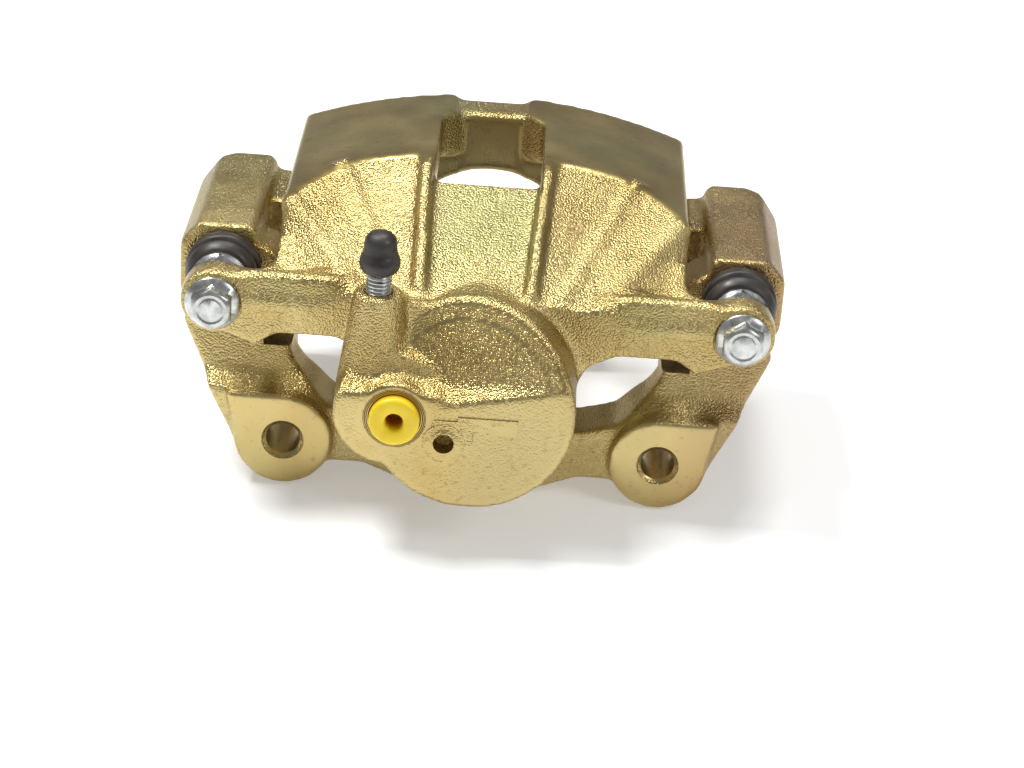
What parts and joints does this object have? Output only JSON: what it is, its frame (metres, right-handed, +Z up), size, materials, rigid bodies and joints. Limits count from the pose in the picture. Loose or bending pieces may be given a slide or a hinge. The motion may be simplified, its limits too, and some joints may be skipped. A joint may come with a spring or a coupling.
{
  "type": "brake caliper",
  "caption": "Floating disc brake caliper on its mounting bracket, with piston, guide pins, boots, bleed screw and pad clips.",
  "frame": {"origin": "midway between the two knuckle bolt holes, on the inboard faces of their bosses", "axes": "+X from guide pin to guide pin, +Y outboard, the way the piston pushes, +Z up, away from the wheel axle"},
  "size_m": [0.1896, 0.1393, 0.0981],
  "materials": {
    "cast_yellow_zinc": "sand cast, plated yellow zinc chromate, machined faces smoother",
    "zinc_steel": "clear zinc plated, slightly dull",
    "stainless_sheet": "bright stainless sheet",
    "piston_steel": "ground and chromed outside",
    "ring_steel": "spring wire",
    "black_rubber": "matt moulded rubber",
    "yellow_plastic": "soft moulded plastic"
  },
  "bodies": {
    "bracket": {"bracket": "cast_yellow_zinc", "pad_clip_left": "stainless_sheet", "pad_clip_right": "stainless_sheet", "pin_boot_left": "black_rubber", "pin_boot_right": "black_rubber"},
    "caliper": {"caliper_housing": "cast_yellow_zinc", "guide_pin_left": "zinc_steel", "guide_pin_right": "zinc_steel", "pin_bushing": "black_rubber", "guide_bolt_left": "zinc_steel", "guide_bolt_right": "zinc_steel", "piston_seal": "black_rubber", "piston_boot": "black_rubber", "boot_retaining_ring": "ring_steel"},
    "piston": {"piston": "piston_steel"},
    "bleed_screw": {"bleed_screw": "zinc_steel"},
    "bleed_cap": {"bleed_cap": "black_rubber"},
    "inlet_plug": {"inlet_plug": "yellow_plastic"}
  },
  "joints": [
    {"name": "caliper_slide", "type": "slide", "parent": "bracket", "child": "caliper", "axis": [0, -1, 0], "range_m": [0, 0.018], "deforming": ["pin_boot_left", "pin_boot_right"]},
    {"name": "piston_slide", "type": "slide", "parent": "caliper", "child": "piston", "axis": [0, 1, 0], "range_m": [0, 0.025], "deforming": ["piston_boot"]},
    {"name": "bleed_screw_turn", "type": "hinge", "parent": "caliper", "child": "bleed_screw", "pos_m": [-0.03, -0.018, 0.0614], "axis": [0, 0, 1], "range_deg": [0, 360]},
    {"name": "bleed_cap_pull", "type": "slide", "parent": "bleed_screw", "child": "bleed_cap", "axis": [0, 0, 1], "range_m": [0, 0.016]},
    {"name": "inlet_plug_pull", "type": "slide", "parent": "caliper", "child": "inlet_plug", "axis": [0, -1, 0], "range_m": [0, 0.014]}
  ]
}
